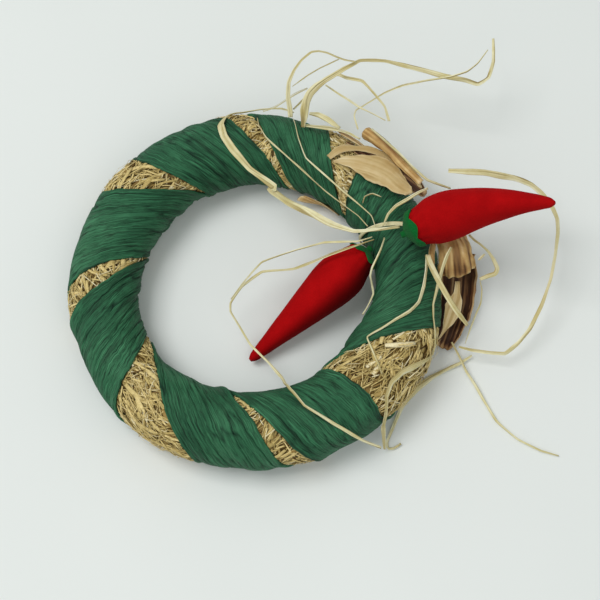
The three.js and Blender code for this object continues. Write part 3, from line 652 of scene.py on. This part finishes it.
def felt_material():
    """Green felt, with short matted fibres."""
    material, nodes, links, shader = new_material("green_felt", 0.95, sheen=0.05)
    shader.inputs["Specular IOR Level"].default_value = 0.05
    place = place_node(nodes, links)
    fibres = noise_node(nodes, links, place, 1100.0, 4.0, 0.8)
    color = ramp_node(nodes, links, fibres, [
        (0.3, (0.002, 0.07, 0.013)), (0.65, (0.004, 0.15, 0.027))])
    links.new(color, shader.inputs["Base Color"])
    bump_node(nodes, links, shader, fibres, 0.5, 0.0004)
    return material


def dried_leaf_material(name, stops, stain, roughness=0.6):
    """A dried leaf: streaks along its length, from the grain layer, with stains."""
    material, nodes, links, shader = new_material(name, roughness)
    place = place_node(nodes, links)
    streaks = ramp_node(nodes, links, layer_node(nodes, "grain"), stops)
    blotch = noise_node(nodes, links, place, 120.0, 4.0)
    color = mix_node(nodes, links, "MULTIPLY", 0.8, streaks, ramp_node(nodes, links, blotch, [
        (0.35, stain), (0.6, (1.0, 1.0, 1.0))]))
    links.new(color, shader.inputs["Base Color"])
    fine = noise_node(nodes, links, place, 1500.0)
    bump_node(nodes, links, shader, fine, 0.2, 0.0003)
    return material


# -------------------------------------------------------------------- straw

def straw_core(material):
    """The bundle under the loose stalks and the ribbon."""
    direction = np.linspace(0, 360, 300, endpoint=False)[:, None]
    angle = np.linspace(0, 360, 56, endpoint=False)[None, :]
    lumps = noise(direction / 2.2, angle / 15, 21) * 0.0006
    points = on_tube(direction, angle, lumps - BUNDLE_DEPTH, floor=0.0004)
    # Painted shade: the bundle is darker than the stalks that lie over it.
    shade = 0.22 + 0.12 * noise(direction / 1.1, angle / 4, 22)
    faces = loft_faces(*points.shape[:2], endless=True)
    piece = add_piece("straw_bundle", points, faces, material, {"shade": shade})
    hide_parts("straw_ring")


def laid_on_tube(direction, turns, heading, reach, bend):
    """Stalks that lie on the tube: directions, angles, and metres inside the gap's edge."""
    direction, turns, heading = direction[:, None], turns[:, None], heading[:, None]
    tube = tube_radius(np.radians(direction))
    out = middle_radius(np.radians(direction)) + tube * np.cos(np.radians(360 * turns))
    across = reach * np.cos(heading) - bend * np.sin(heading)
    around = reach * np.sin(heading) + bend * np.cos(heading)
    at_direction = direction + np.degrees(across / out)
    at_turns = turns + around / tube / (2 * math.pi)
    middle, half = gap_at(at_turns)
    inside = np.radians(half - np.abs(at_direction - middle)) * out
    return at_direction, 360 * at_turns, inside


def stalk_mesh(name, direction, angle, off, floor, widths, shade, material):
    """Many short stalks, each a row of points on the tube with its widths."""
    stations = on_tube(direction, angle, off, floor)
    below = on_tube(direction, angle, 0, floor=-1)
    normals = unit(on_tube(direction, angle, 0.01, floor=-1) - below)
    count, steps = stations.shape[:2]
    ahead = unit(np.gradient(stations, axis=1))
    side = unit(np.cross(ahead, normals)) * (widths / 2)[..., None]
    up = unit(np.cross(side, ahead)) * (np.minimum(0.5 * widths, STALK_THICKNESS) / 2)[..., None]
    corners = [side * a + up * b for a, b in ((-1, -0.35), (1, -0.35), (0.55, 0.8), (-0.55, 0.8))]
    points = stations[:, :, None] + np.stack(corners, 2)
    one = np.array(loft_faces(steps, 4))
    faces = (one[None] + (np.arange(count) * steps * 4)[:, None, None]).reshape(-1, 4).tolist()
    return add_piece(name, points, faces, material, {"shade": shade[:, None, None]})


def straw_stalks(material):
    """Chopped stalks that fill the gaps between the turns of ribbon."""
    rng = np.random.default_rng(11)
    turns = rng.uniform(0, TURNS, 16000)
    _, half = gap_at(turns)
    underneath = step(-np.sin(np.radians(360 * (turns % 1))), 0.5, 0.9)
    chance = (half + 0.8) / 18 * (1 - 0.75 * underneath)
    turns = turns[rng.uniform(0, 1, len(turns)) < chance][:MOST_STALKS]
    count = len(turns)
    middle, half = gap_at(turns)
    direction = middle + rng.uniform(-1.05, 1.05, count) * (half + 0.4)
    swirl = 75 * noise(direction / 5, 360 * turns / 45, 13)
    heading = np.radians(8 + swirl + rng.normal(0, 24, count))
    length = rng.gamma(4.0, 0.0025, count).clip(0.003, 0.024)
    width = rng.gamma(4.0, 0.0002, count).clip(0.00035, 0.0016)
    leafy = rng.uniform(0, 1, count) < 0.1
    width = np.where(leafy, rng.uniform(0.0016, 0.003, count), width)
    depth = rng.uniform(0, 1, count)
    tilt = rng.normal(0, 0.06, count)[:, None]
    reach = np.linspace(-0.5, 0.5, 4)[None] * length[:, None]
    bend = rng.normal(0, 6, count)[:, None] * reach ** 2
    at_direction, angle, inside = laid_on_tube(direction, turns, heading, reach, bend)
    off = -0.0022 + 0.0026 * depth[:, None] + tilt * reach
    off = np.minimum(off, -0.0012 + 0.9 * np.clip(inside, -0.0006, 0.01))
    widths = width[:, None] * np.array([0.75, 1, 1, 0.7])[None]
    # Painted shade: stalks that lie lower in the bundle are darker, with a random tone on top of that.
    shade = (0.27 + 0.42 * depth + rng.normal(0, 0.18, count)).clip(0, 0.95)
    shade = np.where(rng.uniform(0, 1, count) < 0.035, 0.97, shade)
    stalk_mesh("straw_stalks", at_direction, angle, off, 0.0003, widths, shade, material)


def straw_hairs(material):
    """Thin stray stalks that stand off the bundle in the gaps."""
    rng = np.random.default_rng(12)
    turns = rng.uniform(0, TURNS, 2600)
    middle, half = gap_at(turns)
    on_top = np.sin(np.radians(360 * turns)) > -0.6
    keep = (rng.uniform(0, 1, len(turns)) < half / 14) & on_top
    turns, middle, half = turns[keep], middle[keep], half[keep]
    count = len(turns)
    direction = middle + rng.uniform(-0.8, 0.8, count) * half
    heading = rng.uniform(0, 2 * math.pi, count)
    length = rng.uniform(0.004, 0.011, count)
    reach = np.linspace(0, 1, 5)[None] * length[:, None]
    bend = rng.normal(0, 25, count)[:, None] * reach ** 2
    at_direction, angle, inside = laid_on_tube(direction, turns, heading, reach, bend)
    rise = rng.uniform(0.05, 0.3, count)[:, None] * reach
    off = np.minimum(rise - 0.0002, 1.2 * inside - 0.0012)
    widths = rng.uniform(0.00022, 0.0005, count)[:, None] * np.array([1, 1, 0.9, 0.8, 0.5])[None]
    shade = rng.uniform(0.35, 1.0, count)
    stalk_mesh("straw_hairs", at_direction, angle, off, 0.0004, widths, shade, material)


# -------------------------------------------------------------------- ribbon

def crease(across, lengthwise, spacing, length, seed, sharp=0.14):
    """1 in the bottom of a crease and 0 on the paper between; creases run lengthwise."""
    wander = 0.35 * noise(lengthwise / (0.5 * length), across / (3 * spacing), seed + 1)
    level = noise(across / spacing + wander, lengthwise / length, seed)
    return np.clip(1 - np.abs(level) / sharp, 0, 1) ** 1.3


def closed_narrow(half):
    """Half widths of gaps, in degrees, with the narrowest made to overlap and so closed."""
    return half - 0.8 * step(-half, -0.9, -0.5)


def ragged(lengthwise, seed):
    """How far the ribbon's edge strays from its even line, in degrees around the ring."""
    return 0.6 * noise(lengthwise / 0.009, 0.5, seed) + 0.4 * noise(lengthwise / 0.0025, 0.5, seed + 1)


def ribbon(material):
    """One long strip of crinkled paper, wound around the tube."""
    rows, columns, backs = 540, 168, 9
    turns = np.linspace(RIBBON_START, RIBBON_START + TURNS - 0.01, rows)[:, None]
    even = np.linspace(0, 1, columns)[None, :]
    share = 0.7 * even + 0.3 * (1 - np.cos(np.pi * even)) / 2
    middle, half = gap_at(turns)
    next_middle, next_half = gap_at(turns + 1)
    lengthwise = turns * RIBBON_LENGTH
    first = middle - closed_narrow(half) + ragged(lengthwise, 31)
    last = next_middle + closed_narrow(next_half) + ragged(lengthwise, 33)
    angle = 360 * turns
    across = (share - 0.5) * RIBBON_WIDTH

    folds = crease(across, lengthwise, 0.009, 0.07, 41, 0.07)
    pleats = crease(across, lengthwise, 0.0042, 0.045, 44, 0.10)
    wrinkles = crease(across, lengthwise, 0.0018, 0.025, 47, 0.16)
    facets = noise(across / 0.007, lengthwise / 0.035, 50)
    lumps = noise(across / 0.018, lengthwise / 0.022, 52)
    off = 0.0006 * lumps + 0.0007 * facets - 0.0012 * folds - 0.0007 * pleats - 0.0003 * wrinkles
    off = np.maximum(off, -DEEPEST_CREASE)

    # The edges are folded under and stand off the straw here and there.
    edge = np.minimum(share, 1 - share) * RIBBON_WIDTH
    lift_first = RIM_LIFT * step(noise(lengthwise / 0.02, 0.3, 57), -0.2, 0.7)
    lift_last = RIM_LIFT * step(noise(lengthwise / 0.02, 0.7, 58), -0.2, 0.7)
    lift = np.where(share < 0.5, lift_first, lift_last)
    rim = np.exp(-(edge / RIM_WIDTH) ** 2)
    off = off * (1 - 0.5 * rim) + lift * rim + 0.0004 * rim
    off = off - 0.0007 * np.exp(-(edge / 0.0005) ** 2)
    skin = on_tube(first + (last - first) * share, angle, off, floor=0.0006)

    back_share = np.linspace(1, 0, backs)[None, :]
    back_edge = np.minimum(back_share, 1 - back_share) * RIBBON_WIDTH
    back_lift = np.where(back_share < 0.5, lift_first, lift_last) * np.exp(-(back_edge / RIM_WIDTH) ** 2)
    back = on_tube(first + (last - first) * back_share, angle, back_lift - 0.0018, floor=0.0003)
    points = np.concatenate([skin, back], 1)

    # Crease depth, which the paper material uses to paint shade into the deep creases; the back is given a
    # fixed dark value.
    depth = np.clip(0.9 * folds ** 2 + 0.8 * pleats ** 2 + 0.35 * wrinkles ** 2, 0, 1)
    depth = np.concatenate([depth, np.ones((rows, backs)) * 0.8], 1)
    both = np.concatenate([across, (back_share - 0.5) * RIBBON_WIDTH], 1)
    layers = {"crease": depth, "across": both / CREASE_WIDTH, "lengthwise": lengthwise / CREASE_LENGTH}
    faces = loft_faces(rows, columns + backs)
    piece = add_piece("paper_ribbon", points, faces, material, layers)
    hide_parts("ribbon_wrap")


# ------------------------------------------------------------------ chillies

def pod_line(shape, share):
    """Points on a chilli's bent middle line or beyond its ends, and what is beside and above."""
    base, tip = np.array(shape["base"]), np.array(shape["tip"])
    bend = (base + tip) / 2 + np.array(shape["bow"])
    inside = np.clip(share, 0, 1)[..., None]
    point = base * (1 - inside) ** 2 + bend * 2 * inside * (1 - inside) + tip * inside ** 2
    ahead = unit((bend - base) * (1 - inside) + (tip - bend) * inside)
    side = unit(np.cross(ahead, np.array([0.0, 0.0, 1.0])))
    length = np.linalg.norm(tip - base)
    point = point + ahead * (np.asarray(share)[..., None] - inside) * length
    return point, side, np.cross(side, ahead)


def pod_radius(shape, share):
    """The chilli's half thickness, on a smooth curve through its profile."""
    places, sizes = np.array(POD_PROFILE).T
    slopes = np.gradient(sizes, places)
    i = np.clip(np.searchsorted(places, share) - 1, 0, len(places) - 2)
    width = places[i + 1] - places[i]
    f = np.clip((share - places[i]) / width, 0, 1)
    value = (sizes[i] * (1 + 2 * f) * (1 - f) ** 2 + sizes[i + 1] * f * f * (3 - 2 * f)
             + width * (slopes[i] * f * (1 - f) ** 2 - slopes[i + 1] * f * f * (1 - f)))
    return shape["half"] * np.maximum(value, 0.02)


def around_pod(shape, share, turn, radius):
    """Points at shares along a chilli, at turns and distances around its middle line."""
    point, side, up = pod_line(shape, share)
    way = side * np.cos(turn)[..., None] + up * np.sin(turn)[..., None]
    return point + way * radius[..., None]


def chilli(name, shape, material, seed):
    """A stuffed pod, gathered where it enters its cap, with a few soft dents."""
    even = np.linspace(0, 1, POD_ROWS)[:, None]
    share = 0.25 * (1 - np.cos(np.pi * even)) + 0.5 * even
    turn = np.linspace(0, 2 * math.pi, POD_POINTS, endpoint=False)
    gather = np.exp(-(share / 0.13) ** 2)
    puckers = np.abs(np.sin(6.5 * turn + 0.6 * np.sin(2 * turn)))
    dents = 0.012 * noise(share * 9, 3 * np.sin(turn) + 2 * np.cos(turn), seed)
    radius = pod_radius(shape, share) * (1 - 0.09 * gather * (1 - puckers) + 0.02 * gather) * (1 + dents)
    points = around_pod(shape, share, turn, radius)
    # Painted shade: the side of the pod chosen by the sign is darkened, most towards its base.
    strength = shape["painted_shade_side"]
    toward = np.clip(np.cos(turn) * np.sign(strength) - 0.5 * np.sin(turn), -1, 1)
    layers = {"painted_shade_side": abs(strength) * step(toward, -0.35, 0.75) * (1 - 0.6 * share)}
    faces = loft_faces(POD_ROWS, POD_POINTS)
    piece = add_piece(f"chilli_{name}_velour", points, faces, material, layers)
    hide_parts(f"chilli_{name}")


def chilli_cap(name, shape, material, seed):
    """A cap of thick felt, cut in blunt points that lie on the pod, with a nub of stem."""
    turn = np.linspace(0, 2 * math.pi, POD_POINTS, endpoint=False)
    lobes = np.abs((CAP_POINTS * turn / math.pi + 0.3 * noise(turn, 0.5, seed)) % 2 - 1)
    shortest, longest = shape["cap_reach"]
    reach = shortest + (longest - shortest) * np.minimum(1.15 * lobes, 1)
    length = np.linalg.norm(np.array(shape["tip"]) - np.array(shape["base"]))
    over = np.ones(POD_POINTS)
    rings = [(-(CAP_CLOTH + CAP_GAP + behind) / length * over, radius * over) for behind, radius in CAP_STEM]
    for k in np.linspace(0, 1, 9):
        thick = CAP_GAP + CAP_CLOTH * (1 - 0.25 * k ** 4)
        rings.append((reach * k, pod_radius(shape, reach * k) + thick))
    for k in np.linspace(1, 0, 6):
        rings.append((reach * k, pod_radius(shape, reach * k) + CAP_GAP * 0.5))
    rings.append((-CAP_GAP / length * over, 0.003 * over))
    share, radius = np.array(rings).transpose(1, 0, 2)
    points = around_pod(shape, share, turn, radius)
    faces = loft_faces(len(rings), POD_POINTS)
    piece = add_piece(f"chilli_{name}_felt", points, faces, material)
    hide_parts(f"chilli_{name}_cap")


# ---------------------------------------------------------- leaves and raffia

def turned(vectors, axes, angles):
    """Vectors turned about axes that are at right angles to them."""
    angles = np.asarray(angles)[..., None]
    return vectors * np.cos(angles) + np.cross(axes, vectors) * np.sin(angles)


def both_sides(values):
    """Values over a sheet, and again in reverse for its other side."""
    return np.concatenate([values, values[:, ::-1]], 1)


def thickened(sheet, out, thick):
    """A sheet's outer side, and in reverse its inner side."""
    return np.concatenate([sheet + out * thick / 2, (sheet - out * thick / 2)[:, ::-1]], 1)


def husk_leaf(name, shape, material, seed):
    """A dried leaf: a curled sheet with veins along it and a ragged rim."""
    spine, length = smooth_route(metres(shape["spine"]), LINE_STEP)
    rows, columns = len(spine), 25
    share = length / length[-1]
    ahead, _, up = line_frame(spine)
    up = turned(up, ahead, np.full(rows, math.radians(shape.get("turn", 0))))
    half = along(metres(shape["halves"]), share) * (1 + 0.08 * noise(length / 0.003, 0.5, seed))
    curl = along(shape["curls"], share)
    across = np.linspace(-1, 1, columns)[None]
    angle = curl[:, None] * across
    bend = (half / curl)[:, None]
    axis = np.broadcast_to(ahead[:, None], (rows, columns, 3))
    out = turned(np.broadcast_to(up[:, None], (rows, columns, 3)), axis, -angle)
    beside = across * half[:, None]
    lengthwise = length[:, None]
    veins = 0.00012 * np.sin(beside / 0.00042 + 2 * noise(lengthwise / 0.01, beside / 0.003, seed + 1))
    wave = noise(lengthwise / 0.006, beside / 0.005, seed + 2) * np.abs(across)
    rib = 0 * across
    if "ribs" in shape:
        rib = share[:, None] * np.cos(shape["ribs"] * math.pi * across + 0.5 * wave)
    relief = bend + veins + 0.0007 * wave + 0.0008 * rib
    torn = 0.0012 * noise(beside / 0.0015, 0.5, seed + 5) + 0.0015 * (1 - across ** 2)
    sheet = spine[:, None] - up[:, None] * bend[..., None] + out * relief[..., None]
    sheet = sheet + ahead[:, None] * (torn * share[:, None] ** 4)[..., None]
    sheet = rest_on_tube(sheet, metres(shape.get("lift", 1.6)))
    points = thickened(sheet, out, HUSK)
    points[..., 2] = np.maximum(points[..., 2], 0.0004)
    grain = 0.5 + 0.42 * noise(beside / 0.0006, lengthwise / 0.02, seed + 3)
    grain = grain + 0.2 * noise(beside / 0.003, lengthwise / 0.03, seed + 4)
    # Painted shade: the grain is darkened in the valleys between a leaf's ribs.
    grain = grain - 1.6 * np.clip(-0.35 - rib, 0, 1) + 0.6 * step(np.abs(across), 0.8, 1)
    grain = grain + 0.5 * step(share[:, None], 0.93, 1)
    layers = {"grain": np.clip(both_sides(grain), 0, 1)}
    faces = loft_faces(rows, 2 * columns)
    piece = add_piece(name.replace("husk", "dried_husk"), points, faces, material, layers)
    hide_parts(name)


def raffia_strand(name, shape, material, seed):
    """A folded strip of raffia that twists along its route, with a fibre split off beside it."""
    line, length = smooth_route(metres(shape["route"]), LINE_STEP, kink=0.7)
    line = rest_on_tube(line, metres(shape.get("lift", 1)))
    rows, columns = len(line), 7
    share = length / length[-1]
    ahead, side, up = line_frame(line)
    twist = 0.7 * noise(length / 0.022, 0.5, seed) + 0.25 * noise(length / 0.007, 0.5, seed + 1)
    side, up = turned(side, ahead, twist), turned(up, ahead, twist)
    half = 0.42 * along(metres(shape["widths"]), share) * (1 + 0.2 * noise(length / 0.01, 0.5, seed + 2))
    across = np.linspace(-1, 1, columns)[None]
    fold = 0.55 * noise(length / 0.02, 0.5, seed + 3)[:, None]
    strip_faces = loft_faces(rows, 2 * columns)
    points, grains, faces = [], [], []
    # First the strip, then the fibre, which wanders beside it.
    for order, portion in enumerate((1.0, FIBRE_SHARE)):
        aside = order * (half + 0.0006) * noise(length / 0.02, 0.5, seed + 7)
        middle = line + side * aside[:, None] + up * order * RAFFIA
        beside = across * (portion * half)[:, None]
        height = fold * np.abs(beside) + 0.00008 * np.sin(beside / 0.0003 + seed)
        sheet = middle[:, None] + side[:, None] * beside[..., None] + up[:, None] * height[..., None]
        thick = RAFFIA * (1 - 0.4 * np.abs(across[..., None]))
        faces += [[corner + order * rows * 2 * columns for corner in face] for face in strip_faces]
        points.append(thickened(sheet, up[:, None], thick))
        grain = 0.52 + 0.3 * noise(beside / 0.0005, length[:, None] / 0.03, seed + 4)
        grain = grain + 0.7 * across * noise(length / 0.014, 0.5, seed + 5)[:, None]
        grains.append(both_sides(grain))
    points = np.concatenate(points)
    points[..., 2] = np.maximum(points[..., 2], 0.0003)
    layers = {"grain": np.clip(np.concatenate(grains), 0, 1)}
    piece = add_piece(name.replace("raffia", "strand"), points, faces, material, layers)
    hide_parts(name)


def raffia_tie(material):
    """The raffia that goes around the tube and holds the decoration on."""
    rows, columns = 96, 7
    angle = np.linspace(0, 360, rows, endpoint=False)[:, None]
    across = np.linspace(-1, 1, columns)[None]
    middle = 21.5 - 6 * np.cos(np.radians(angle))
    wide = np.degrees(TIE_HALF / RING_MIDDLE[1])
    direction = middle + wide * across
    skin = on_tube(direction, angle, 0.0014 + 0.0002 * np.cos(2 * across), floor=0.0003)
    back = on_tube(direction, angle, 0.0010, floor=0.0006)[:, ::-1]
    points = np.concatenate([skin, back], 1)
    grain = 0.6 + 0.3 * noise(across * 3, angle / 40, 91) * np.ones((rows, columns))
    layers = {"grain": both_sides(grain)}
    faces = loft_faces(rows, 2 * columns, endless=True)
    piece = add_piece("tie_around_tube", points, faces, material, layers)
    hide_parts("raffia_tie")


# --------------------------------------------------------------------- stage

def floor():
    material, nodes, links, shader = new_material("floor", 0.9)
    place = place_node(nodes, links)
    color = ramp_node(nodes, links, noise_node(nodes, links, place, 3.0), [
        (0.3, (0.75, 0.775, 0.755)), (0.7, (0.78, 0.805, 0.785))])
    links.new(color, shader.inputs["Base Color"])
    bpy.ops.mesh.primitive_plane_add(size=8)
    plane = bpy.context.object
    plane.name = "floor"
    plane.data.materials.append(material)


def lights():
    world = bpy.data.worlds.new("studio")
    bpy.context.scene.world = world
    world.use_nodes = True
    background = world.node_tree.nodes["Background"]
    background.inputs["Color"].default_value = (0.95, 1.0, 0.98, 1)
    background.inputs["Strength"].default_value = 0.46
    for name, (place, size, power) in LIGHTS.items():
        data = bpy.data.lights.new(name, "AREA")
        data.size = size
        data.energy = power
        light = bpy.data.objects.new(name, data)
        light.location = place
        light.rotation_euler = (-Vector(place)).to_track_quat("-Z", "Y").to_euler()
        bpy.context.scene.collection.objects.link(light)


def camera():
    data = bpy.data.cameras.new("camera")
    data.lens = CAMERA["lens"]
    data.sensor_width = 36.0
    data.clip_start = 0.01
    view = bpy.data.objects.new("camera", data)
    rise = math.radians(CAMERA["elevation"])
    back = Vector((0, -math.cos(rise), math.sin(rise)))
    view.location = Vector(MIDDLE) + Vector(CAMERA["aim"]) + back * CAMERA["distance"]
    view.rotation_euler = (-back).to_track_quat("-Z", "Y").to_euler()
    bpy.context.scene.collection.objects.link(view)
    bpy.context.scene.camera = view


# ------------------------------------------------------------------ assembly

camera()
lights()
floor()
bpy.context.scene.view_settings.view_transform = "Standard"

straw = straw_material()
paper = paper_material()
velour = velour_material()
felt = felt_material()
raffia = dried_leaf_material("raffia", [
    (0.0, (0.33, 0.25, 0.10)), (0.35, (0.60, 0.52, 0.27)),
    (0.7, (0.78, 0.73, 0.47)), (1.0, (0.90, 0.87, 0.66))], (0.82, 0.78, 0.58))
pale_husk = dried_leaf_material("pale_husk", [
    (0.0, (0.40, 0.27, 0.10)), (0.35, (0.55, 0.41, 0.19)),
    (0.8, (0.64, 0.50, 0.27)), (1.0, (0.72, 0.60, 0.36))], (0.9, 0.82, 0.7))
brown_husk = dried_leaf_material("brown_husk", [
    (0.0, (0.07, 0.03, 0.01)), (0.25, (0.33, 0.18, 0.065)),
    (0.6, (0.63, 0.43, 0.17)), (1.0, (0.80, 0.64, 0.36))], (0.7, 0.55, 0.4))
# A darker copy of the brown husk: painted shade for the leaves that lie under the others.
painted_shade_husk = dried_leaf_material("painted_shade_husk", [
    (0.0, (0.02, 0.006, 0.003)), (0.5, (0.06, 0.024, 0.011)),
    (0.75, (0.20, 0.10, 0.045)), (1.0, (0.52, 0.36, 0.18))], (0.7, 0.55, 0.4))

straw_core(straw)
straw_stalks(straw)
straw_hairs(straw)
ribbon(paper)
raffia_tie(raffia)
for seed, (place, shape) in enumerate(CHILLIES.items()):
    chilli(place, shape, velour, 61 + seed)
    chilli_cap(place, shape, felt, 65 + seed)
for seed, (name, shape) in enumerate(LEAVES.items()):
    look, slot = brown_husk, "brown_husk"
    if name in ("husk_leaf_broad", "husk_leaf_folded", "husk_leaf_torn"):
        look, slot = pale_husk, "pale_husk"
    elif name in ("husk_leaf_back", "husk_leaf_under"):
        # Painted shade: the leaves beneath the others take the darker copy.
        look = painted_shade_husk
    husk_leaf(name, shape, look, 100 + 10 * seed)
for seed, (name, shape) in enumerate(STRANDS.items()):
    raffia_strand(name, shape, raffia, 300 + 10 * seed)
